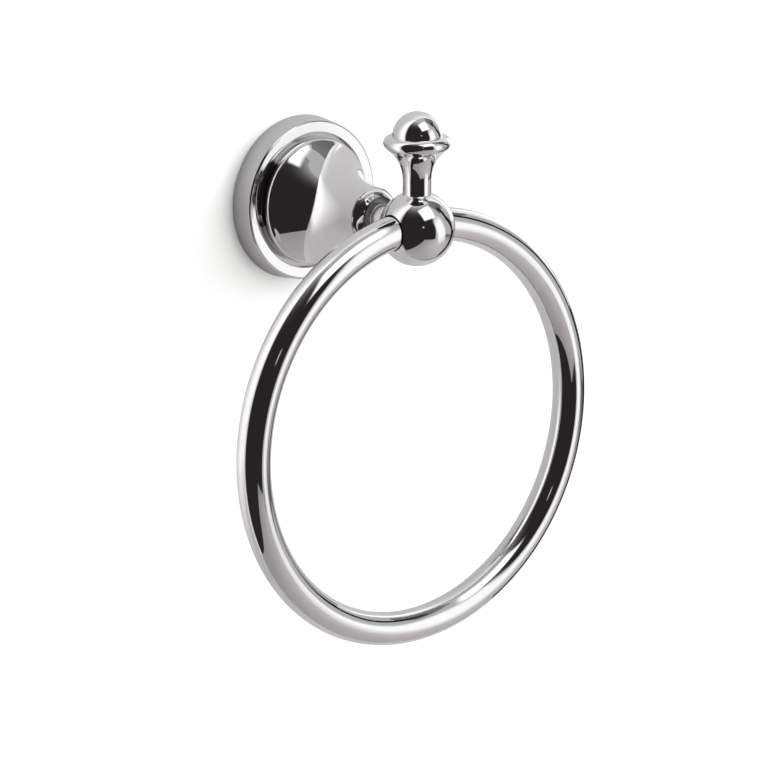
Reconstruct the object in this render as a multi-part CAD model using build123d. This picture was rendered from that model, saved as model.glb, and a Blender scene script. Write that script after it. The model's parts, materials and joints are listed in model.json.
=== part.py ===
from build123d import *
import os
from math import asin, atan2, cos, degrees, radians, sin, sqrt

# Towel ring, in millimetres. The wall is the plane y = 0 and the object stands out along -Y.
# The origin is the centre of the rose's back, on the wall, and +Z is up.

# Ring and its place
ring_outer_diameter = 160.0
tube_diameter = 12.0
tube_wall = 1.5
end_straight = 9.5  # ball centre to where each straight end starts to bend
end_bend = 20.0  # radius of that bend into the ring's circle
wall_reach = 66.5  # wall to the ball's centre

# Ball hub
ball_diameter = 27.0
running_clearance = 0.2  # ring tube to cross-bore, at the nearest
mouth_chamfer = 0.15
seat_land = 0.35  # flat on the ball round each stem

# Rose: drum, rim and groove
rose_diameter = 60.4
drum_taper = 1.0  # how much the drum narrows from the wall to the rim, on the radius
drum_depth = 8.6
rim_edge_round = 0.9
rim_width = 4.3
rim_dish = 0.35  # how much deeper the rim lies at its inner edge
rim_inner_round = 0.25
groove_width = 1.65
groove_depth = 1.5
rose_wall = 2.2

# Rose: bell and neck
shoulder_round = 2.8
shoulder_rise = 1.6  # rim plane to the start of the shoulder's round
neck_diameter = 21.2
mouth_length = 3.4  # straight mouth past the sweep
mouth_round = 0.3
web_thickness = 6.0

# Collar between the bell's mouth and the ball
nose_diameter = 20.0  # the collar swells out of the mouth in a rounded nose
nose_edge = 0.3  # straight edge at the nose's foot
nose_round = 5.8
nose_length = 3.9  # mouth to the stem
nose_stem_round = 0.4
collar_stem_diameter = 10.2
collar_stem_length = 7.25  # nose to the ball
spigot_diameter = 12.0
spigot_depth = 1.2

# Finial
finial_stem_diameter = 10.3
finial_stem_height = 17.5  # ball centre to the start of the flare
cup_diameter = 24.0
cup_height = 30.6  # ball centre to the cup's widest place
cup_lip_round = 2.5
dome_diameter = 17.7
dome_height = 32.9  # ball centre to the dome's centre

# Fasteners
bolt_diameter = 6.0
bolt_head_flats = 10.0
bolt_head_height = 4.0
bolt_tip_gap = 0.7  # bolt's tip to the cross-bore
stud_tip_gap = 0.9  # stud's tip to the far side of the cross-bore
stud_side_gap = 0.6  # stud to each ring end
thread_clearance = 0.06
hole_clearance = 0.2
tip_chamfer = 0.6
washer_outer_diameter = 11.4
washer_thickness = 1.6
washer_split = 0.8
grub_diameter = 3.0
grub_socket_flats = 1.5
grub_socket_depth = 1.4
grub_recess = 0.7

# Wall bracket
bracket_sheet = 1.6
bracket_bend = 1.0
bracket_clearance = 0.3
slot_spacing = 30.0
slot_width = 4.5
slot_length = 9.0

# Radii and places that follow from the sizes above
tube_radius = tube_diameter / 2
ring_radius = ring_outer_diameter / 2 - tube_radius
ball_radius = ball_diameter / 2
bolt_radius = bolt_diameter / 2
thread_radius = bolt_radius + thread_clearance
clear_hole_radius = bolt_radius + hole_clearance
finial_stem_radius = finial_stem_diameter / 2
collar_stem_radius = collar_stem_diameter / 2
neck_radius = neck_diameter / 2
rose_radius = rose_diameter / 2
rim_radius = rose_radius - drum_taper

# The ring's straight ends turn in the bore, which also clears the start of each bend at its mouths
bend_reach = ring_radius - end_bend
join_angle = degrees(asin(end_straight / bend_reach))
ring_centre_drop = sqrt(bend_reach**2 - end_straight**2) + end_bend
bore_half_length = sqrt(ball_radius**2 - tube_radius**2)
mouth_drop = end_bend - sqrt(end_bend**2 - (bore_half_length - end_straight) ** 2)
bore_radius = tube_radius + mouth_drop + running_clearance

rim_inner_radius = rim_radius - rim_width
bell_foot_radius = rim_inner_radius - groove_width
groove_floor = drum_depth - rim_dish - groove_depth
shoulder_start = drum_depth + shoulder_rise
collar_seat = sqrt(ball_radius**2 - (collar_stem_radius + seat_land) ** 2)
finial_seat = sqrt(ball_radius**2 - (finial_stem_radius + seat_land) ** 2)
collar_end = wall_reach - collar_seat
mouth_end = collar_end - collar_stem_length - nose_length
neck_start = mouth_end - mouth_length  # end of the bell's sweep
cavity_end = mouth_end - web_thickness
cavity_drum_depth = groove_floor - rose_wall
cavity_drum_radius = rim_radius - rose_wall
bracket_radius = cavity_drum_radius - bracket_clearance
bracket_height = cavity_drum_depth - bracket_clearance
bolt_seat = cavity_end - washer_thickness
bolt_tip = wall_reach - bore_radius - bolt_tip_gap
stud_tip = -bore_radius + stud_tip_gap
grub_height = (bracket_bend + bracket_height) / 2

# Profiles across the wall are drawn as (radius, distance from the wall), and turned about Y
arm_plane = Plane(origin=(0, 0, 0), x_dir=(1, 0, 0), z_dir=(0, 0, -1))
# The finial's profile is drawn as (radius, height over the ball's centre)
finial_plane = Plane.XZ.offset(wall_reach)
ball_centre = Vector(0, -wall_reach, 0)


def arc(centre, radius, start, end):
    # Arc about centre between two directions, in degrees
    return CenterArc(centre, radius, start, end - start)


def corner_round(face, corners):
    # Round the corners of a flat profile, each given as (point, radius)
    for point, radius in corners:
        corner = face.vertices().sort_by_distance(Vector(*point))[0]
        face = fillet(corner, radius)
    return face


def ogee(foot_centre, foot_round, neck_r, neck_at):
    # Sweep that leaves a straight neck and runs tangent into a round foot:
    # gives the sweep's centre, its radius and the direction in which it meets the foot
    along = neck_at - foot_centre[1]
    across = neck_r - foot_centre[0]
    radius = (along**2 + across**2 - foot_round**2) / (2 * (foot_round - across))
    centre = (neck_r + radius, neck_at)
    meet = degrees(atan2(along, across + radius))
    return centre, radius, meet


def polar(centre, radius, angle):
    return (centre[0] + radius * cos(radians(angle)), centre[1] + radius * sin(radians(angle)))


def across_tube(place):
    # Plane across the ring's tube where the tube runs along X
    return Plane(origin=place, x_dir=(0, 1, 0), z_dir=(1, 0, 0))


def make_rose():
    foot = (bell_foot_radius - shoulder_round, shoulder_start)
    sweep, sweep_radius, meet = ogee(foot, shoulder_round, neck_radius, neck_start)
    inner_radius = sweep_radius + rose_wall
    bell_inside = polar(sweep, inner_radius, meet + 180)
    end_angle = 180 + degrees(asin((neck_start - cavity_end) / inner_radius))
    neck_inside = polar(sweep, inner_radius, end_angle)
    rim_inner = (rim_inner_radius, drum_depth - rim_dish)
    spigot_radius = spigot_diameter / 2
    spigot_floor = mouth_end - spigot_depth
    outline = [
        Polyline(
            (rose_radius, 0),
            (rim_radius, drum_depth),
            rim_inner,
            (rim_inner_radius, groove_floor),
            (bell_foot_radius, groove_floor),
            (bell_foot_radius, shoulder_start),
        ),
        arc(foot, shoulder_round, 0, meet),
        arc(sweep, sweep_radius, meet + 180, 180),
        Polyline(
            (neck_radius, neck_start),
            (neck_radius, mouth_end),
            (spigot_radius, mouth_end),
            (spigot_radius, spigot_floor),
            (clear_hole_radius, spigot_floor),
            (clear_hole_radius, cavity_end),
            neck_inside,
        ),
        arc(sweep, inner_radius, end_angle, meet + 180),
        Polyline(
            bell_inside,
            (bell_inside[0], cavity_drum_depth),
            (cavity_drum_radius, cavity_drum_depth),
            (cavity_drum_radius, 0),
            (rose_radius, 0),
        ),
    ]
    profile = corner_round(
        make_face(outline),
        [
            ((rim_radius, drum_depth), rim_edge_round),
            (rim_inner, rim_inner_round),
            ((neck_radius, mouth_end), mouth_round),
        ],
    )
    body = revolve(arm_plane * profile, axis=Axis.Y)
    grub_hole = Cylinder(grub_diameter / 2 + thread_clearance, rose_radius - bracket_radius)
    grub_place = Pos(0, -grub_height, -(rose_radius + bracket_radius) / 2)
    return body - grub_place * grub_hole


def make_collar():
    stem = collar_stem_radius
    nose = nose_diameter / 2
    spigot = spigot_diameter / 2 - hole_clearance
    spigot_end = mouth_end - spigot_depth + hole_clearance
    nose_foot = (nose, mouth_end + nose_edge)
    nose_tip = (stem, mouth_end + nose_length)
    outline = [
        Polyline(
            (stem, collar_end),
            (clear_hole_radius, collar_end),
            (clear_hole_radius, spigot_end),
            (spigot, spigot_end),
            (spigot, mouth_end),
            (nose, mouth_end),
            nose_foot,
        ),
        RadiusArc(nose_foot, nose_tip, -nose_round),
        Line(nose_tip, (stem, collar_end)),
    ]
    profile = corner_round(make_face(outline), [(nose_tip, nose_stem_round)])
    return revolve(arm_plane * profile, axis=Axis.Y)


def make_ball():
    # Ball with its cross-bore and bevelled mouths, turned about the bore's axis
    lip_radius = bore_radius + mouth_chamfer
    lip_place = sqrt(ball_radius**2 - lip_radius**2)
    chamfer_place = lip_place - mouth_chamfer
    lip_angle = degrees(asin(lip_radius / ball_radius))
    outline = [
        arc((0, 0), ball_radius, lip_angle, 180 - lip_angle),
        Polyline(
            (-lip_place, lip_radius),
            (-chamfer_place, bore_radius),
            (chamfer_place, bore_radius),
            (lip_place, lip_radius),
        ),
    ]
    ball = revolve(finial_plane * make_face(outline), axis=Axis(ball_centre, (1, 0, 0)))
    cap = Box(ball_diameter, ball_diameter, ball_diameter)
    back_cap = Pos(0, collar_seat + ball_radius, 0) * cap
    top_cap = Pos(0, 0, finial_seat + ball_radius) * cap
    hole = Cylinder(thread_radius, ball_radius, align=(Align.CENTER, Align.CENTER, Align.MIN))
    back_hole = Rot(-90, 0, 0) * hole
    return ball - Pos(ball_centre) * (back_cap + top_cap + hole + back_hole)


def make_finial():
    stem = finial_stem_radius
    lip = cup_lip_round
    lip_centre = (cup_diameter / 2 - lip, cup_height)
    # The flare is the rose's ogee again, upside down, so its height is mirrored about the cup
    mirrored = 2 * cup_height - finial_stem_height
    flare, flare_radius, meet = ogee(lip_centre, lip, stem, mirrored)
    flare_centre = (flare[0], finial_stem_height)
    lip_end = 130
    lip_inside = polar(lip_centre, lip, lip_end)
    outline = [
        Polyline(
            (0, stud_tip),
            (bolt_radius - tip_chamfer, stud_tip),
            (bolt_radius, stud_tip + tip_chamfer),
            (bolt_radius, finial_seat),
            (stem, finial_seat),
            (stem, finial_stem_height),
        ),
        arc(flare_centre, flare_radius, 180, 180 - meet),
        arc(lip_centre, lip, -meet, lip_end),
        Polyline(lip_inside, (0, lip_inside[1]), (0, stud_tip)),
    ]
    stem_and_cup = revolve(finial_plane * make_face(outline), axis=Axis(ball_centre, (0, 0, 1)))
    dome = Pos(ball_centre + Vector(0, 0, dome_height)) * Sphere(dome_diameter / 2)
    return stem_and_cup + dome


def make_ring():
    # Bent tube, open where its two straight ends face each other across the finial's stud
    section = Circle(tube_radius) - Circle(tube_radius - tube_wall)
    centre = ball_centre - Vector(0, 0, ring_centre_drop)
    hoop_axis = Axis(centre, (0, 1, 0))
    hoop_start = across_tube(centre + Vector(0, 0, ring_radius)) * section
    hoop_start = hoop_start.rotate(hoop_axis, join_angle)
    hoop = revolve(hoop_start, axis=hoop_axis, revolution_arc=360 - 2 * join_angle)
    bend_place = ball_centre + Vector(end_straight, 0, 0)
    bend_axis = Axis(bend_place - Vector(0, 0, end_bend), (0, 1, 0))
    bend = revolve(across_tube(bend_place) * section, axis=bend_axis, revolution_arc=join_angle)
    half_gap = bolt_radius + stud_side_gap
    end_place = ball_centre + Vector(half_gap, 0, 0)
    end = extrude(across_tube(end_place) * section, amount=end_straight - half_gap)
    ring = hoop
    for piece in (bend, end):
        ring += piece
        ring += mirror(piece, about=Plane.YZ)
    return ring


def make_bracket():
    inner = bracket_radius - bracket_sheet
    profile = corner_round(
        make_face(
            Polyline(
                (0, 0),
                (bracket_radius, 0),
                (bracket_radius, bracket_height),
                (inner, bracket_height),
                (inner, bracket_sheet),
                (0, bracket_sheet),
                close=True,
            )
        ),
        [((bracket_radius, 0), bracket_bend + bracket_sheet / 2), ((inner, bracket_sheet), bracket_bend / 2)],
    )
    cup = revolve(arm_plane * profile, axis=Axis.Y)
    slot = extrude(Plane.XZ * SlotOverall(slot_length, slot_width), amount=bracket_sheet, both=True)
    for side in (-1, 1):
        cup -= Pos(side * slot_spacing / 2, 0, 0) * slot
    return cup


def make_grub_screw():
    radius = grub_diameter / 2
    inner_end = -bracket_radius
    drum_radius = rose_radius - (rose_radius - rim_radius) * grub_height / drum_depth
    outer_end = -(drum_radius - grub_recess)
    length = inner_end - outer_end
    body = Cylinder(radius, length, align=(Align.CENTER, Align.CENTER, Align.MIN))
    body = chamfer(body.faces().sort_by(Axis.Z)[-1].edges(), radius / 3)
    socket = extrude(RegularPolygon(grub_socket_flats / 2, 6, major_radius=False), grub_socket_depth)
    return Pos(0, -grub_height, outer_end) * (body - socket)


def make_centre_bolt():
    head = extrude(RegularPolygon(bolt_head_flats / 2, 6, major_radius=False), -bolt_head_height)
    shaft = Cylinder(bolt_radius, bolt_tip - bolt_seat, align=(Align.CENTER, Align.CENTER, Align.MIN))
    shaft = chamfer(shaft.faces().sort_by(Axis.Z)[-1].edges(), tip_chamfer)
    return Pos(0, -bolt_seat, 0) * Rot(90, 0, 0) * (head + shaft)


def make_lock_washer():
    face = Circle(washer_outer_diameter / 2) - Circle(clear_hole_radius)
    ring = extrude(face, washer_thickness)
    split = Rot(20, 0, 0) * Box(washer_outer_diameter, washer_split, 4 * washer_thickness)
    ring -= Pos(washer_outer_diameter / 2, 0, washer_thickness / 2) * split
    return Pos(0, -bolt_seat, 0) * Rot(90, 0, 0) * ring


pieces = {
    "wall_bracket": make_bracket,
    "rose": make_rose,
    "grub_screw": make_grub_screw,
    "centre_bolt": make_centre_bolt,
    "lock_washer": make_lock_washer,
    "neck_collar": make_collar,
    "ball_hub": make_ball,
    "finial": make_finial,
    "ring": make_ring,
}

os.makedirs("parts", exist_ok=True)
for name, make in pieces.items():
    export_step(make(), f"parts/{name}.step")
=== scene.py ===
import json
import math

import bmesh
import bpy
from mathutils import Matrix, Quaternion, Vector


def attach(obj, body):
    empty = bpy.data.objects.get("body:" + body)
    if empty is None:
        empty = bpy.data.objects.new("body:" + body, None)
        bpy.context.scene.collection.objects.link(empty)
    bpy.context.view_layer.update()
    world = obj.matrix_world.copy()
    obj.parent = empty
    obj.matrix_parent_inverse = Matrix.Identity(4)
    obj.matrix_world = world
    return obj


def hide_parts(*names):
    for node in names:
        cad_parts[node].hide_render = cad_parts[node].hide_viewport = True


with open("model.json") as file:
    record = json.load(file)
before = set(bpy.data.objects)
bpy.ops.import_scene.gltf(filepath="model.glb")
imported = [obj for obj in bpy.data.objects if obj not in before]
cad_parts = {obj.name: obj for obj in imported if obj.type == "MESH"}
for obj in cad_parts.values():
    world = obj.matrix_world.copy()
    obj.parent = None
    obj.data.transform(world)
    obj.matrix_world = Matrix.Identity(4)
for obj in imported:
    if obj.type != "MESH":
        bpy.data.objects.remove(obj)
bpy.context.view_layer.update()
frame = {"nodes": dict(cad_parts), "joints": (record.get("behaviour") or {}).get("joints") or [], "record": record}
mm = 0.001
ballCentre = Vector(frame["joints"][0]["pos_m"])  # the ring swings about the ball's centre
print("frame loaded:", ", ".join(sorted(frame["nodes"])))


# Outlines, in millimetres

arcStep = 0.45  # longest step along a round
arcLeast = 6  # fewest steps in a round
holdStep = 0.05  # support ring beside each corner, keeps flats flat
runFrom = 0.54  # a longer step is a straight run
runStep = 3.0
sameSpot = 1e-6
weldGap = 0.0005


def arc(centre, radius, start, end):
    turn = math.radians(end - start)
    steps = max(arcLeast, math.ceil(abs(turn) * radius / arcStep))
    angles = [math.radians(start) + turn * i / steps for i in range(steps + 1)]
    return [(centre[0] + radius * math.cos(a), centre[1] + radius * math.sin(a)) for a in angles]


def softCorner(before, corner, after, radius):
    # Round a corner between two straight runs
    here = Vector(corner)
    back = (Vector(before) - here).normalized()
    ahead = (Vector(after) - here).normalized()
    half = back.angle(ahead) / 2
    centre = here + (back + ahead).normalized() * radius / math.sin(half)
    first = here + back * radius / math.tan(half)
    last = here + ahead * radius / math.tan(half)
    start = math.degrees(math.atan2(first.y - centre.y, first.x - centre.x))
    end = math.degrees(math.atan2(last.y - centre.y, last.x - centre.x))
    turn = (end - start + 180) % 360 - 180
    return arc(centre, radius, start, start + turn)


def holdRuns(points):
    # Straight runs get support points, so that smooth shading stays inside the rounds
    held = [points[0]]
    for here, there in zip(points, points[1:]):
        a, b = Vector(here), Vector(there)
        length = (b - a).length
        if length > runFrom:
            ahead = (b - a) / length
            steps = max(1, math.ceil((length - 2 * holdStep) / runStep))
            for i in range(steps + 1):
                along = holdStep + (length - 2 * holdStep) * i / steps
                held.append(tuple(a + ahead * along))
        if length > sameSpot:
            held.append(there)
    return held


def ogee(footCentre, footRound, neckRadius, neckAt):
    # Sweep from a straight neck into a round foot: its centre, radius and meeting direction
    along = neckAt - footCentre[1]
    across = neckRadius - footCentre[0]
    radius = (along**2 + across**2 - footRound**2) / (2 * (footRound - across))
    return (neckRadius + radius, neckAt), radius, math.degrees(math.atan2(along, across + radius))


# Modelling steps

sharpAngle = 20  # edges that turn more than this stay sharp, in degrees
fullTurn = 224  # steps round a turned piece
holeSides = 32


def clearSelection():
    bpy.ops.object.select_all(action="DESELECT")


def finishPiece(piece):
    bpy.ops.object.mode_set(mode="OBJECT")
    clearSelection()
    piece.select_set(True)
    bpy.context.view_layer.objects.active = piece
    bpy.ops.object.transform_apply(location=True, rotation=True, scale=True)
    bpy.ops.object.shade_smooth_by_angle(angle=math.radians(sharpAngle))
    return piece


def turnPiece(name, outline, place, centre, axis, turns=fullTurn):
    # One vertex is drawn along the outline, then the line is spun about the axis
    points = [place(u, v) for u, v in holdRuns(outline)]
    clearSelection()
    bpy.ops.mesh.primitive_plane_add(size=mm, location=points[0])
    piece = bpy.context.active_object
    piece.name = name
    bpy.ops.object.transform_apply(location=True)
    bpy.ops.object.mode_set(mode="EDIT")
    bpy.ops.mesh.select_all(action="SELECT")
    bpy.ops.mesh.merge(type="CENTER")
    for here, there in zip(points, points[1:]):
        bpy.ops.mesh.extrude_vertices_move(TRANSFORM_OT_translate={"value": there - here})
    bpy.ops.mesh.select_all(action="SELECT")
    bpy.ops.mesh.spin(steps=turns, angle=2 * math.pi, center=centre, axis=axis)
    bpy.ops.mesh.select_all(action="SELECT")
    bpy.ops.mesh.remove_doubles(threshold=weldGap * mm)
    bpy.ops.mesh.normals_make_consistent(inside=False)
    return finishPiece(piece)


def armPlace(radius, fromWall):
    return Vector((radius, -fromWall, 0)) * mm


def finialPlace(radius, height):
    return ballCentre + Vector((radius, 0, height)) * mm


def borePlace(along, radius):
    return ballCentre + Vector((along, 0, radius)) * mm


# Rose

rose = {
    "backRadius": 30.2,
    "rimRadius": 29.2,
    "drumDepth": 8.6,
    "rimEdge": 0.9,
    "rimInner": 24.9,
    "rimDish": 0.35,
    "rimInnerEdge": 0.25,
    "grooveFloor": 6.75,
    "footRadius": 23.25,
    "shoulder": 2.8,
    "shoulderStart": 10.2,
    "neckRadius": 10.6,
    "neckStart": 39.6,
    "mouthEnd": 43.0,
    "mouthRound": 0.3,
    "wall": 2.2,
    "webStart": 37.0,
    "spigotRadius": 6.0,
    "spigotFloor": 41.8,
    "boltHole": 3.2,
    "grubRadius": 1.56,
    "grubHeight": 2.625,
    "grubDrill": 4.2,
}


def makeRose(s):
    foot = (s["footRadius"] - s["shoulder"], s["shoulderStart"])
    sweep, sweepRadius, meet = ogee(foot, s["shoulder"], s["neckRadius"], s["neckStart"])
    inner = sweepRadius + s["wall"]
    innerEnd = 180 + math.degrees(math.asin((s["neckStart"] - s["webStart"]) / inner))
    innerSweep = arc(sweep, inner, innerEnd, meet + 180)
    cavityRadius = s["rimRadius"] - s["wall"]
    cavityDepth = s["grooveFloor"] - s["wall"]
    back = (s["backRadius"], 0)
    rimOut = (s["rimRadius"], s["drumDepth"])
    rimIn = (s["rimInner"], s["drumDepth"] - s["rimDish"])
    grooveOut = (s["rimInner"], s["grooveFloor"])
    mouth = (s["neckRadius"], s["mouthEnd"])
    neck = (s["neckRadius"], s["neckStart"])
    outline = [back]
    outline += softCorner(back, rimOut, rimIn, s["rimEdge"])
    outline += softCorner(rimOut, rimIn, grooveOut, s["rimInnerEdge"])
    outline += [grooveOut, (s["footRadius"], s["grooveFloor"])]
    outline += arc(foot, s["shoulder"], 0, meet)
    outline += arc(sweep, sweepRadius, meet + 180, 180)
    outline += softCorner(neck, mouth, (0, s["mouthEnd"]), s["mouthRound"])
    outline += [
        (s["spigotRadius"], s["mouthEnd"]),
        (s["spigotRadius"], s["spigotFloor"]),
        (s["boltHole"], s["spigotFloor"]),
        (s["boltHole"], s["webStart"]),
    ]
    outline += innerSweep
    outline += [
        (innerSweep[-1][0], cavityDepth),
        (cavityRadius, cavityDepth),
        (cavityRadius, 0),
        back,
    ]
    piece = turnPiece("roseBell", outline, armPlace, (0, 0, 0), (0, 1, 0))
    drillDown(piece, s["grubRadius"], -s["grubHeight"], -s["backRadius"], s["grubDrill"])
    return finishPiece(piece)


def drillDown(piece, radius, y, z, depth):
    # Upright hole through the drum's wall from below
    clearSelection()
    bpy.ops.mesh.primitive_cylinder_add(
        vertices=holeSides, radius=radius * mm, depth=2 * depth * mm, location=Vector((0, y, z)) * mm
    )
    drill = bpy.context.active_object
    cut = piece.modifiers.new("hole", "BOOLEAN")
    cut.object = drill
    bpy.context.view_layer.objects.active = piece
    bpy.ops.object.modifier_apply(modifier="hole")
    bpy.data.objects.remove(drill)


# Collar

collar = {
    "noseRadius": 10.0,
    "noseStart": 43.0,
    "noseEdge": 0.3,
    "noseRound": 5.8,
    "noseLength": 3.9,
    "stemRound": 0.4,
    "stemRadius": 5.1,
    "stemEnd": 54.149,
    "spigotRadius": 5.8,
    "spigotStart": 42.0,
    "boltHole": 3.2,
    "turns": 160,
}


def makeCollar(s):
    noseFoot = Vector((s["noseRadius"], s["noseStart"] + s["noseEdge"]))
    noseTip = Vector((s["stemRadius"], s["noseStart"] + s["noseLength"]))
    chord = noseTip - noseFoot
    inward = Vector((-chord.y, chord.x)).normalized()
    sink = math.sqrt(s["noseRound"] ** 2 - chord.length_squared / 4)
    centre = (noseFoot + noseTip) / 2 + inward * sink
    start = math.degrees(math.atan2(noseFoot.y - centre.y, noseFoot.x - centre.x))
    end = math.degrees(math.atan2(noseTip.y - centre.y, noseTip.x - centre.x))
    nose = arc(centre, s["noseRound"], start, end)
    stemEnd = (s["stemRadius"], s["stemEnd"])
    outline = [
        (s["boltHole"], s["spigotStart"]),
        (s["spigotRadius"], s["spigotStart"]),
        (s["spigotRadius"], s["noseStart"]),
        (s["noseRadius"], s["noseStart"]),
    ]
    outline += nose[:-1]
    outline += softCorner(nose[-2], nose[-1], stemEnd, s["stemRound"])
    outline += [stemEnd, (s["boltHole"], s["stemEnd"]), (s["boltHole"], s["spigotStart"])]
    return turnPiece("neckCollar", outline, armPlace, (0, 0, 0), (0, 1, 0), s["turns"])


# Ball

ball = {
    "radius": 13.5,
    "boreRadius": 6.369,
    "mouthBevel": 0.15,
    "backSeat": 12.351,
    "topSeat": 12.3288,
}


def makeBall(s):
    lip = s["boreRadius"] + s["mouthBevel"]
    lipAngle = math.degrees(math.asin(lip / s["radius"]))
    outline = arc((0, 0), s["radius"], lipAngle, 180 - lipAngle)
    lipAt = outline[0][0]
    boreAt = lipAt - s["mouthBevel"]
    outline += [(-boreAt, s["boreRadius"]), (boreAt, s["boreRadius"]), outline[0]]
    piece = turnPiece("ballHub", outline, borePlace, ballCentre, (1, 0, 0))
    seats = [((0, 1, 0), s["backSeat"]), ((0, 0, 1), s["topSeat"])]
    bpy.ops.object.mode_set(mode="EDIT")
    for normal, height in seats:
        bpy.ops.mesh.select_all(action="SELECT")
        seat = ballCentre + Vector(normal) * height * mm
        bpy.ops.mesh.bisect(plane_co=seat, plane_no=normal, use_fill=True, clear_outer=True)
    return finishPiece(piece)


# Finial

finial = {
    "stemRadius": 5.15,
    "stemTop": 17.5,
    "seat": 12.3288,
    "cupRadius": 12.0,
    "cupHeight": 30.6,
    "lipRound": 2.5,
    "domeRadius": 8.85,
    "domeHeight": 32.9,
    "studRadius": 3.0,
    "studTip": -5.469,
    "studBevel": 0.6,
}


def makeFinial(s):
    lipCentre = (s["cupRadius"] - s["lipRound"], s["cupHeight"])
    mirrored = 2 * s["cupHeight"] - s["stemTop"]
    flare, flareRadius, meet = ogee(lipCentre, s["lipRound"], s["stemRadius"], mirrored)
    dx = lipCentre[0]
    dz = lipCentre[1] - s["domeHeight"]
    apart = math.hypot(dx, dz)
    fromDome = (apart**2 + s["domeRadius"] ** 2 - s["lipRound"] ** 2) / (2 * apart)
    spread = math.degrees(math.acos(fromDome / s["domeRadius"]))
    domeStart = math.degrees(math.atan2(dz, dx)) + spread  # where the lip runs into the dome
    dome = arc((0, s["domeHeight"]), s["domeRadius"], domeStart, 90)
    crease = dome[0]
    lipEnd = math.degrees(math.atan2(crease[1] - lipCentre[1], crease[0] - lipCentre[0]))
    outline = [
        (0, s["studTip"]),
        (s["studRadius"] - s["studBevel"], s["studTip"]),
        (s["studRadius"], s["studTip"] + s["studBevel"]),
        (s["studRadius"], s["seat"]),
        (s["stemRadius"], s["seat"]),
    ]
    outline += arc((flare[0], s["stemTop"]), flareRadius, 180, 180 - meet)
    outline += arc(lipCentre, s["lipRound"], -meet, lipEnd)
    outline += dome
    return turnPiece("finialTop", outline, finialPlace, ballCentre, (0, 0, 1))


# Ring

ring = {
    "radius": 74.0,
    "tubeRadius": 6.0,
    "wall": 1.5,
    "endStraight": 9.5,
    "endBend": 20.0,
    "halfGap": 3.6,
    "endDepth": 5.5,
    "steps": 420,
    "bendSteps": 12,
    "section": 72,
}


def selectEdges(piece, wanted):
    mesh = bmesh.from_edit_mesh(piece.data)
    bpy.ops.mesh.select_all(action="DESELECT")
    for edge in mesh.edges:
        if wanted(edge):
            edge.select_set(True)
    bmesh.update_edit_mesh(piece.data)


def makeRing(s):
    # The hoop is spun, then each end gets its bend, its straight run and its open mouth
    reach = s["radius"] - s["endBend"]
    join = math.asin(s["endStraight"] / reach)
    drop = math.sqrt(reach**2 - s["endStraight"] ** 2) + s["endBend"]
    centre = ballCentre - Vector((0, 0, drop)) * mm
    start = centre + Vector((math.sin(join), 0, math.cos(join))) * s["radius"] * mm
    clearSelection()
    bpy.ops.mesh.primitive_circle_add(
        vertices=s["section"],
        radius=s["tubeRadius"] * mm,
        location=start,
        rotation=(0, math.pi / 2 + join, 0),
    )
    piece = bpy.context.active_object
    piece.name = "hangingRing"
    bpy.ops.object.transform_apply(location=True, rotation=True)
    bpy.ops.object.mode_set(mode="EDIT")
    bpy.ops.mesh.select_all(action="SELECT")
    bpy.ops.mesh.spin(steps=s["steps"], angle=2 * (join - math.pi), center=centre, axis=(0, 1, 0))
    for side in (-1, 1):
        selectEdges(piece, lambda e: e.is_boundary and side * e.verts[0].co.x > 0)
        bendCentre = ballCentre + Vector((side * s["endStraight"], 0, -s["endBend"])) * mm
        bpy.ops.mesh.spin(steps=s["bendSteps"], angle=side * join, center=bendCentre, axis=(0, 1, 0))
        inward = Vector((-side * mm, 0, 0))
        straight = inward * (s["endStraight"] - s["halfGap"])
        bpy.ops.mesh.extrude_edges_move(TRANSFORM_OT_translate={"value": straight})
        bpy.ops.mesh.edge_face_add()
        bpy.ops.mesh.inset(thickness=s["wall"] * mm)
        bpy.ops.mesh.extrude_region_move(TRANSFORM_OT_translate={"value": -inward * s["endDepth"]})
    bpy.ops.mesh.select_all(action="SELECT")
    bpy.ops.mesh.remove_doubles(threshold=weldGap * mm)
    bpy.ops.mesh.normals_make_consistent(inside=False)
    return finishPiece(piece)


pieces = {
    "rose": makeRose(rose),
    "neck_collar": makeCollar(collar),
    "ball_hub": makeBall(ball),
    "finial": makeFinial(finial),
    "ring": makeRing(ring),
}
print("chrome pieces modelled")


# Finishes

grainDetail = 4
rippleDetail = 1


def objectAxes(material):
    nodes = material.node_tree.nodes
    where = nodes.new("ShaderNodeTexCoord")
    split = nodes.new("ShaderNodeSeparateXYZ")
    material.node_tree.links.new(where.outputs["Object"], split.inputs[0])
    return split.outputs


def colourMix(material, share, first, second):
    mix = material.node_tree.nodes.new("ShaderNodeMix")
    mix.data_type = "RGBA"
    mix.inputs["A"].default_value = first
    mix.inputs["B"].default_value = second
    material.node_tree.links.new(share, mix.inputs["Factor"])
    return mix


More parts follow.
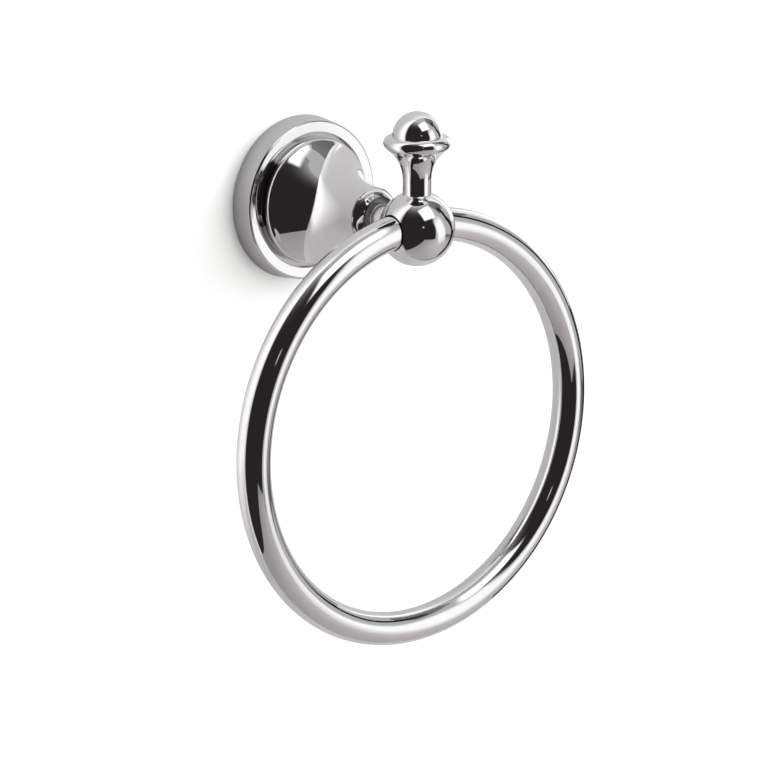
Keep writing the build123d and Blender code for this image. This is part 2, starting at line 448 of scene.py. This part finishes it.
def metalFinish(name, s):
    # Polish that varies a little in tone and gloss, with a faint ripple
    material = bpy.data.materials.new(name)
    material.use_nodes = True
    nodes = material.node_tree.nodes
    links = material.node_tree.links
    shader = nodes["Principled BSDF"]
    shader.inputs["Metallic"].default_value = 1
    where = nodes.new("ShaderNodeTexCoord")
    stretch = nodes.new("ShaderNodeMapping")
    stretch.inputs["Scale"].default_value = s["stretch"]
    links.new(where.outputs["Object"], stretch.inputs["Vector"])
    grain = nodes.new("ShaderNodeTexNoise")
    grain.inputs["Scale"].default_value = s["grainScale"]
    grain.inputs["Detail"].default_value = grainDetail
    links.new(stretch.outputs["Vector"], grain.inputs["Vector"])
    tone = colourMix(material, grain.outputs["Fac"], s["dark"], s["light"])
    gloss = nodes.new("ShaderNodeMapRange")
    gloss.inputs["To Min"].default_value, gloss.inputs["To Max"].default_value = s["roughness"]
    links.new(grain.outputs["Fac"], gloss.inputs["Value"])
    # Bands paint shade into the rose's groove and beside the stem, and give the stem a satin gloss
    for band in s.get("bands", {}).values():
        share = nearArm(material, band)
        tone = bandMix(material, "RGBA", share, tone, band["tone"])
        gloss = bandMix(material, "FLOAT", share, gloss, band["roughness"])
    links.new(tone.outputs["Result"], shader.inputs["Base Color"])
    links.new(gloss.outputs["Result"], shader.inputs["Roughness"])
    ripple = nodes.new("ShaderNodeTexNoise")
    ripple.inputs["Scale"].default_value = s["rippleScale"]
    ripple.inputs["Detail"].default_value = rippleDetail
    links.new(stretch.outputs["Vector"], ripple.inputs["Vector"])
    bump = nodes.new("ShaderNodeBump")
    bump.inputs["Distance"].default_value = s["rippleDepth"] * mm
    links.new(ripple.outputs["Fac"], bump.inputs["Height"])
    links.new(bump.outputs["Normal"], shader.inputs["Normal"])
    return material


def nearArm(material, s):
    # One inside a band round the arm, at these radii and distances from the wall
    nodes = material.node_tree.nodes
    links = material.node_tree.links
    axes = objectAxes(material)
    across = nodes.new("ShaderNodeCombineXYZ")
    links.new(axes["X"], across.inputs["X"])
    links.new(axes["Z"], across.inputs["Z"])
    radius = nodes.new("ShaderNodeVectorMath")
    radius.operation = "LENGTH"
    links.new(across.outputs[0], radius.inputs[0])
    inside = nodes.new("ShaderNodeMath")
    inside.operation = "MULTIPLY"
    tests = [(radius.outputs["Value"], s["radius"]), (axes["Y"], s["place"])]
    for socket, (value, (middle, reach)) in zip(inside.inputs, tests):
        test = nodes.new("ShaderNodeMath")
        test.operation = "COMPARE"
        test.inputs[1].default_value = middle * mm
        test.inputs[2].default_value = reach * mm
        links.new(value, test.inputs[0])
        links.new(test.outputs[0], socket)
    return inside.outputs[0]


def bandMix(material, kind, share, polish, value):
    links = material.node_tree.links
    mix = material.node_tree.nodes.new("ShaderNodeMix")
    mix.data_type = kind
    mix.inputs["B"].default_value = value
    links.new(polish.outputs["Result"], mix.inputs["A"])
    links.new(share, mix.inputs["Factor"])
    return mix


finishes = {
    "chrome": {
        "bands": {  # middle and reach across the arm and along it, in millimetres
            "grooveFloor": {  # painted shade in the narrow groove
                "radius": (24.07, 0.87),
                "place": (-6.9, 0.25),
                "tone": (0.38, 0.37, 0.37, 1),
                "roughness": 0.05,
            },
            "stem": {  # satin
                "radius": (5.1, 1.2),
                "place": (-50.55, 3.6),
                "tone": (0.95, 0.945, 0.945, 1),
                "roughness": 0.27,
            },
            "stemCornerShade": {  # painted shade in the corner beside the stem, with a duller gloss
                "radius": (6.3, 1.4),
                "place": (-46.4, 0.55),
                "tone": (0.16, 0.155, 0.155, 1),
                "roughness": 0.2,
            },
        },
        "dark": (0.79, 0.785, 0.79, 1),
        "light": (0.84, 0.84, 0.845, 1),
        "roughness": (0.02, 0.055),
        "stretch": (1, 1, 1),
        "grainScale": 90,
        "rippleScale": 70,
        "rippleDepth": 0.012,
    },
    "plated_steel": {
        "dark": (0.42, 0.43, 0.44, 1),
        "light": (0.62, 0.62, 0.6, 1),
        "roughness": (0.22, 0.48),
        "stretch": (1, 1, 1),
        "grainScale": 260,
        "rippleScale": 400,
        "rippleDepth": 0.03,
    },
    "fastener": {
        "dark": (0.36, 0.36, 0.37, 1),
        "light": (0.56, 0.56, 0.55, 1),
        "roughness": (0.18, 0.4),
        "stretch": (1, 6, 1),  # turning marks run round the arm
        "grainScale": 420,
        "rippleScale": 900,
        "rippleDepth": 0.01,
    },
}
metals = {slot: metalFinish(slot + "Finish", settings) for slot, settings in finishes.items()}
for subpart in frame["record"]["subparts"]:
    node, slot = subpart["node"], subpart["material_slot"]
    if node in pieces:
        piece = pieces[node]
        piece.data.materials.clear()
        piece.data.materials.append(metals[slot])
        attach(piece, "hanging_ring" if node == "ring" else "wall_post")
        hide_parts(node)
    else:
        frame["nodes"][node].material_slots[0].material = metals[slot]
print("finishes set")


# Camera

view = {
    "azimuth": -40.18,
    "elevation": 15.63,
    "distance": 1.3054,
    "aim": (-0.01846, -0.07037, -0.0528),
    "lens": 173.98,
}


def skyPoint(azimuth, elevation, distance):
    turn = math.radians(azimuth)
    tilt = math.radians(elevation)
    level = math.cos(tilt)
    return Vector((math.sin(turn) * level, -math.cos(turn) * level, math.sin(tilt))) * distance


def addCamera(s):
    away = skyPoint(s["azimuth"], s["elevation"], 1)
    aim = Vector(s["aim"])
    bpy.ops.object.camera_add(
        location=aim + away * s["distance"], rotation=(-away).to_track_quat("-Z", "Y").to_euler()
    )
    camera = bpy.context.active_object
    camera.data.lens = s["lens"]
    bpy.context.scene.camera = camera


addCamera(view)


# Studio

studio = {
    "wallBack": 0.0003,  # the wall stands this far behind the rose's back
    "wallHole": 0.0292,  # the rose covers this hole
    "wallSides": 96,
    "wallReach": 2.4,
    "wallColour": (0.9, 0.9, 0.9, 1),
    "wallGlow": 0.06,
    "wallFade": (0.35, 0.9),  # past these distances the camera sees the wall as plain white
    "wallMirrorEnd": -0.3,  # reflections see past the wall further left than this
    # Painted light and shade on the wall, which only reflections see
    "shadeTone": (0.435, 0.425, 0.425, 1),
    "brightTone": (0.93, 0.92, 0.93, 1),
    "ceilingTone": (0.58, 0.57, 0.575, 1),
    "floorHeight": -0.7,
    "floorLeft": -0.5,
    "floorRight": 2.4,
    "floorFront": -1.75,
    "floorColour": (0.78, 0.76, 0.74, 1),
    "floorGlow": 1.0,
    "floorTone": (0.335, 0.32, 0.32, 1),
    "ambient": 0.3,
    "surround": 0.51,
}
# Where the wall is painted bright for mirrored rays, as runs across it and up it, in metres
brightRuns = {
    "left": ("X", -0.05, -0.13),
    "low": ("Z", -0.19, -0.09),
    "right": ("X", 0.11, 0.17),
    "rightLow": ("Z", -0.02, 0.01),
    "rightTop": ("Z", 0.14, 0.09),
    "ceiling": ("Z", 0.15, 0.35),
}
# The watts light the wall and the floor, and the glow is what the chrome mirrors
lights = {
    "overheadSoftbox": {
        "place": (0.09, -0.745, 0.9),
        "aim": (0, -0.05, 0),
        "size": (0.9, 0.87),
        "watts": 2.85,
        "glow": 1.45,
        "soft": (0.16, 0.16),  # share of the size that fades out at each edge
        "roll": 0,
    },
    "sideStrip": {
        "place": (0.56, -0.84, 0),
        "aim": (0, -0.05, 0),
        "size": (0.66, 1.5),
        "watts": 1.5,
        "glow": 1.18,
        "soft": (0.28, 0.33),
        "roll": 15,
    },
    "keyLight": {  # casts the rose's soft shadow and has no mirror image
        "place": (0.95, -1.3, 0.5),
        "aim": (0, 0, 0),
        "size": (1.6, 1.6),
        "watts": 38.5,
    },
}
backCloth = {
    "bottom": -3.2,
    "top": 6.0,
    "fade": (1.4, 6.0),
    "dark": (0.021, 0.018, 0.018, 1),
    "pale": (0.35, 0.34, 0.34, 1),
}
# Curtains run between two azimuths, and their cloth turns from dark to pale over the fade's heights
curtains = {
    "frontCurtain": {
        "from": -93.5,
        "to": 17,
        "bottom": -3.2,
        "top": 8.2,
        "fade": (1.7, 8.2),
        "dark": (0.025, 0.0205, 0.021, 1),
        "pale": (0.35, 0.34, 0.34, 1),
    },
    "leftSheet": {
        "from": -118,
        "to": -97,
        "bottom": -3.2,
        "top": 6.0,
        "fade": (-3.2, 6.0),
        "dark": (0.85, 0.84, 0.85, 1),
        "pale": (0.9, 0.89, 0.9, 1),
    },
    "rightFlag": {
        "from": 52,
        "to": 92,
        "bottom": 1.37,
        "top": 4.1,
        "fade": (1.37, 4.1),
        "dark": (0.16, 0.16, 0.155, 1),
        "pale": (0.22, 0.22, 0.215, 1),
    },
    "backCurtainRight": {"from": 118, "to": 152, **backCloth},
    "backCurtainLeft": {"from": 208, "to": 242, **backCloth},
}
curtainRadius = 2.2
curtainSteps = 48
lampSides = (24, 12)
lamps = {
    "frontLamp": {"at": (-20, 14), "distance": 2.0, "radius": 0.09, "glow": 0.7},
}
# A dark upright flag beside the wall, which draws the thin dark line along the right edges
sideFlag = {"place": (0.3, -0.06, -0.21), "size": (0.115, 0.3), "tone": (0.02, 0.018, 0.018, 1)}
boom = {
    "distance": 1.2,
    "legs": ((62, 42), (65, 15), (91, -17)),  # azimuth and elevation of its ends and its bend
    "width": 0.18,
    "sides": 24,
    "tone": (0.02, 0.018, 0.018, 1),
}


def emptyMaterial(name):
    material = bpy.data.materials.new(name)
    material.use_nodes = True
    material.node_tree.nodes.clear()
    return material, material.node_tree.nodes, material.node_tree.links


def backdropPaint(name, colour, cameraGlow, mirrorTone):
    # Matt paint on the front, nothing on the back. Reflections see it in the mirror tone
    material, nodes, links = emptyMaterial(name)
    paint = nodes.new("ShaderNodeBsdfDiffuse")
    path = nodes.new("ShaderNodeLightPath")
    tone = colourMix(material, path.outputs["Is Glossy Ray"], colour, mirrorTone)
    links.new(tone.outputs["Result"], paint.inputs["Color"])
    glow = nodes.new("ShaderNodeEmission")
    amount = nodes.new("ShaderNodeMath")
    amount.name = "cameraGlow"
    amount.operation = "MULTIPLY"
    amount.inputs[1].default_value = cameraGlow
    links.new(path.outputs["Is Camera Ray"], amount.inputs[0])
    links.new(amount.outputs[0], glow.inputs["Strength"])
    both = nodes.new("ShaderNodeAddShader")
    links.new(paint.outputs[0], both.inputs[0])
    links.new(glow.outputs[0], both.inputs[1])
    clear = nodes.new("ShaderNodeBsdfTransparent")
    side = nodes.new("ShaderNodeNewGeometry")
    mix = nodes.new("ShaderNodeMixShader")
    links.new(side.outputs["Backfacing"], mix.inputs[0])
    links.new(both.outputs[0], mix.inputs[1])
    links.new(clear.outputs[0], mix.inputs[2])
    output = nodes.new("ShaderNodeOutputMaterial")
    links.new(mix.outputs[0], output.inputs["Surface"])
    return material, tone


def mirrorShade(material, tone, s, runs):
    # Painted light and shade that only reflections see: the wall is painted bright beside the object and grey
    # behind, under and over it
    nodes = material.node_tree.nodes
    links = material.node_tree.links
    axes = objectAxes(material)
    shares = {}
    for name, (axis, dull, bright) in runs.items():
        share = nodes.new("ShaderNodeMapRange")
        share.inputs["From Min"].default_value = dull
        share.inputs["From Max"].default_value = bright
        links.new(axes[axis], share.inputs["Value"])
        shares[name] = share.outputs["Result"]
    leftLevel = joined(material, "MULTIPLY", shares["left"], shares["low"])
    rightLevel = joined(material, "MULTIPLY", shares["right"], shares["rightLow"])
    rightLevel = joined(material, "MULTIPLY", rightLevel, shares["rightTop"])
    level = joined(material, "ADD", leftLevel, rightLevel)
    backTone = colourMix(material, shares["ceiling"], s["shadeTone"], s["ceilingTone"])
    wallTone = colourMix(material, level, s["shadeTone"], s["brightTone"])
    links.new(backTone.outputs["Result"], wallTone.inputs["A"])
    links.new(wallTone.outputs["Result"], tone.inputs["B"])


def fadeToWhite(material, s):
    # The camera sees the far wall as plain white
    nodes = material.node_tree.nodes
    links = material.node_tree.links
    where = nodes.new("ShaderNodeTexCoord")
    distance = nodes.new("ShaderNodeVectorMath")
    distance.operation = "LENGTH"
    links.new(where.outputs["Object"], distance.inputs[0])
    glow = nodes.new("ShaderNodeMapRange")
    glow.inputs["From Min"].default_value, glow.inputs["From Max"].default_value = s["wallFade"]
    glow.inputs["To Min"].default_value = s["wallGlow"]
    links.new(distance.outputs["Value"], glow.inputs["Value"])
    links.new(glow.outputs["Result"], nodes["cameraGlow"].inputs[1])


def openLeft(material, s):
    # Reflections look past the wall's left end, as far as the curtains
    nodes = material.node_tree.nodes
    links = material.node_tree.links
    past = nodes.new("ShaderNodeMath")
    past.operation = "LESS_THAN"
    past.inputs[1].default_value = s["wallMirrorEnd"]
    links.new(objectAxes(material)["X"], past.inputs[0])
    mirrored = nodes["Light Path"].outputs["Is Glossy Ray"]
    pastEnd = joined(material, "MULTIPLY", past.outputs[0], mirrored)
    clear = joined(material, "MAXIMUM", pastEnd, nodes["Geometry"].outputs["Backfacing"])
    links.new(clear, nodes["Mix Shader"].inputs[0])


def joined(material, how, first, second):
    node = material.node_tree.nodes.new("ShaderNodeMath")
    node.operation = how
    material.node_tree.links.new(first, node.inputs[0])
    material.node_tree.links.new(second, node.inputs[1])
    return node.outputs[0]


def addWall(s):
    clearSelection()
    bpy.ops.mesh.primitive_circle_add(
        vertices=s["wallSides"],
        radius=s["wallHole"],
        location=(0, s["wallBack"], 0),
        rotation=(math.pi / 2, 0, 0),
    )
    wall = bpy.context.active_object
    wall.name = "studioWall"
    bpy.ops.object.mode_set(mode="EDIT")
    bpy.ops.mesh.select_all(action="SELECT")
    bpy.ops.mesh.extrude_edges_move(TRANSFORM_OT_translate={"value": (0, 0, 0)})
    grow = s["wallReach"] / s["wallHole"]
    bpy.ops.transform.resize(value=(grow, grow, grow), center_override=(0, s["wallBack"], 0))
    bpy.ops.object.mode_set(mode="OBJECT")
    faceFront(wall, Vector((0, -1, 0)))
    bpy.ops.object.transform_apply(location=True, rotation=True)
    paint, tone = backdropPaint("wallPaint", s["wallColour"], s["wallGlow"], s["shadeTone"])
    mirrorShade(paint, tone, s, brightRuns)
    fadeToWhite(paint, s)
    openLeft(paint, s)
    wall.data.materials.append(paint)


def faceFront(piece, direction):
    if piece.data.polygons[0].normal.dot(piece.matrix_world.to_3x3().inverted() @ direction) < 0:
        clearSelection()
        piece.select_set(True)
        bpy.context.view_layer.objects.active = piece
        bpy.ops.object.mode_set(mode="EDIT")
        bpy.ops.mesh.select_all(action="SELECT")
        bpy.ops.mesh.flip_normals()
        bpy.ops.object.mode_set(mode="OBJECT")


def addFloor(s):
    clearSelection()
    width = s["floorRight"] - s["floorLeft"]
    bpy.ops.mesh.primitive_plane_add(
        size=1, location=(s["floorLeft"] + width / 2, s["floorFront"] / 2, s["floorHeight"])
    )
    floor = bpy.context.active_object
    floor.name = "studioFloor"
    floor.scale = (width, -s["floorFront"], 1)
    paint = backdropPaint("floorPaint", s["floorColour"], s["floorGlow"], s["floorTone"])[0]
    floor.data.materials.append(paint)


def addLight(name, s):
    place = Vector(s["place"])
    turn = (Vector(s["aim"]) - place).to_track_quat("-Z", "Y")
    bpy.ops.object.light_add(type="AREA", location=place, rotation=turn.to_euler())
    lamp = bpy.context.active_object
    lamp.name = name
    lamp.data.shape = "RECTANGLE"
    lamp.data.size, lamp.data.size_y = s["size"]
    lamp.data.energy = s["watts"]
    lamp.visible_camera = False
    lamp.visible_glossy = False
    if "glow" in s:
        addPanel(name + "Panel", s, turn)


def addPanel(name, s, turn):
    # The light's face as the chrome mirrors it, with soft edges
    turn = turn @ Quaternion((0, 0, 1), math.radians(s["roll"]))
    clearSelection()
    bpy.ops.mesh.primitive_plane_add(size=1, location=s["place"], rotation=turn.to_euler())
    panel = bpy.context.active_object
    panel.name = name
    panel.scale = (*s["size"], 1)
    material = mirrorOnly(panel, (1, 1, 1, 1), s["glow"])
    nodes = material.node_tree.nodes
    links = material.node_tree.links
    axes = objectAxes(material)
    edge = 0.5  # half of the plane's own side
    fades = []
    for axis, soft in zip("XY", s["soft"]):
        aside = nodes.new("ShaderNodeMath")
        aside.operation = "ABSOLUTE"
        links.new(axes[axis], aside.inputs[0])
        fade = nodes.new("ShaderNodeMapRange")
        fade.interpolation_type = "SMOOTHSTEP"
        fade.inputs["From Min"].default_value = edge
        fade.inputs["From Max"].default_value = edge - soft
        links.new(aside.outputs[0], fade.inputs["Value"])
        fades.append(fade.outputs["Result"])
    clear = nodes.new("ShaderNodeBsdfTransparent")
    mix = nodes.new("ShaderNodeMixShader")
    links.new(joined(material, "MULTIPLY", *fades), mix.inputs[0])
    links.new(clear.outputs[0], mix.inputs[1])
    links.new(nodes["Emission"].outputs[0], mix.inputs[2])
    links.new(mix.outputs[0], nodes["Material Output"].inputs["Surface"])


def curtainCloth(name, s):
    material, nodes, links = emptyMaterial(name)
    height = nodes.new("ShaderNodeMapRange")
    height.interpolation_type = "SMOOTHSTEP"
    height.inputs["From Min"].default_value, height.inputs["From Max"].default_value = s["fade"]
    links.new(objectAxes(material)["Z"], height.inputs["Value"])
    tone = colourMix(material, height.outputs["Result"], s["dark"], s["pale"])
    cloth = nodes.new("ShaderNodeEmission")
    links.new(tone.outputs["Result"], cloth.inputs["Color"])
    output = nodes.new("ShaderNodeOutputMaterial")
    links.new(cloth.outputs[0], output.inputs["Surface"])
    return material


def addCurtain(name, s):
    # A curved curtain that only reflections see
    foot = skyPoint(s["from"], 0, curtainRadius) + Vector((0, 0, s["bottom"]))
    clearSelection()
    bpy.ops.mesh.primitive_plane_add(size=mm, location=foot)
    curtain = bpy.context.active_object
    curtain.name = name
    bpy.ops.object.transform_apply(location=True)
    bpy.ops.object.mode_set(mode="EDIT")
    bpy.ops.mesh.select_all(action="SELECT")
    bpy.ops.mesh.merge(type="CENTER")
    rise = (0, 0, s["top"] - s["bottom"])
    bpy.ops.mesh.extrude_vertices_move(TRANSFORM_OT_translate={"value": rise})
    bpy.ops.mesh.select_all(action="SELECT")
    sweep = math.radians(s["from"] - s["to"])
    bpy.ops.mesh.spin(steps=curtainSteps, angle=sweep, center=(0, 0, 0), axis=(0, 0, 1))
    bpy.ops.object.mode_set(mode="OBJECT")
    curtain.data.materials.append(curtainCloth(name + "Cloth", s))
    curtain.visible_camera = False
    curtain.visible_diffuse = False
    curtain.visible_shadow = False


def addBoom(s):
    # A dark bent boom to the right, seen as a curved line in the dome and the ball
    points = [skyPoint(*at, s["distance"]) for at in s["legs"]]
    for i, (top, foot) in enumerate(zip(points, points[1:])):
        clearSelection()
        bpy.ops.mesh.primitive_cylinder_add(
            vertices=s["sides"],
            radius=s["width"] / 2,
            depth=(top - foot).length,
            location=(top + foot) / 2,
            rotation=(top - foot).to_track_quat("Z", "Y").to_euler(),
        )
        pole = bpy.context.active_object
        pole.name = f"darkBoom{i + 1}"
        mirrorOnly(pole, s["tone"], 1)


def addFlag(s):
    clearSelection()
    bpy.ops.mesh.primitive_plane_add(size=1, location=s["place"], rotation=(0, math.pi / 2, 0))
    flag = bpy.context.active_object
    flag.name = "sideFlag"
    flag.scale = (s["size"][1], s["size"][0], 1)
    mirrorOnly(flag, s["tone"], 1)


def addLamp(name, s):
    place = skyPoint(*s["at"], s["distance"])
    segments, rings = lampSides
    clearSelection()
    bpy.ops.mesh.primitive_uv_sphere_add(
        segments=segments, ring_count=rings, radius=s["radius"], location=place
    )
    lamp = bpy.context.active_object
    lamp.name = name
    mirrorOnly(lamp, (1, 1, 1, 1), s["glow"])


def mirrorOnly(piece, colour, strength):
    # Plain glow that only reflections see
    material, nodes, links = emptyMaterial(piece.name + "Glow")
    glow = nodes.new("ShaderNodeEmission")
    glow.inputs["Color"].default_value = colour
    glow.inputs["Strength"].default_value = strength
    output = nodes.new("ShaderNodeOutputMaterial")
    links.new(glow.outputs[0], output.inputs["Surface"])
    piece.data.materials.append(material)
    piece.visible_camera = False
    piece.visible_diffuse = False
    piece.visible_shadow = False
    return material


def setWorld(s):
    world = bpy.data.worlds.new("studioAir")
    bpy.context.scene.world = world
    world.use_nodes = True
    nodes = world.node_tree.nodes
    links = world.node_tree.links
    air = nodes["Background"]
    path = nodes.new("ShaderNodeLightPath")
    seen = nodes.new("ShaderNodeMix")
    seen.inputs["A"].default_value = s["ambient"]
    seen.inputs["B"].default_value = s["surround"]
    links.new(path.outputs["Is Glossy Ray"], seen.inputs["Factor"])
    white = nodes.new("ShaderNodeMix")
    white.inputs["B"].default_value = 1
    links.new(path.outputs["Is Camera Ray"], white.inputs["Factor"])
    links.new(seen.outputs["Result"], white.inputs["A"])
    links.new(white.outputs["Result"], air.inputs["Strength"])
    air.inputs["Color"].default_value = (1, 1, 1, 1)


setWorld(studio)
addWall(studio)
addFloor(studio)
for name, settings in lights.items():
    addLight(name, settings)
for name, settings in curtains.items():
    addCurtain(name, settings)
addBoom(boom)
addFlag(sideFlag)
for name, settings in lamps.items():
    addLamp(name, settings)
bpy.context.scene.view_settings.view_transform = "Standard"
print("studio set")
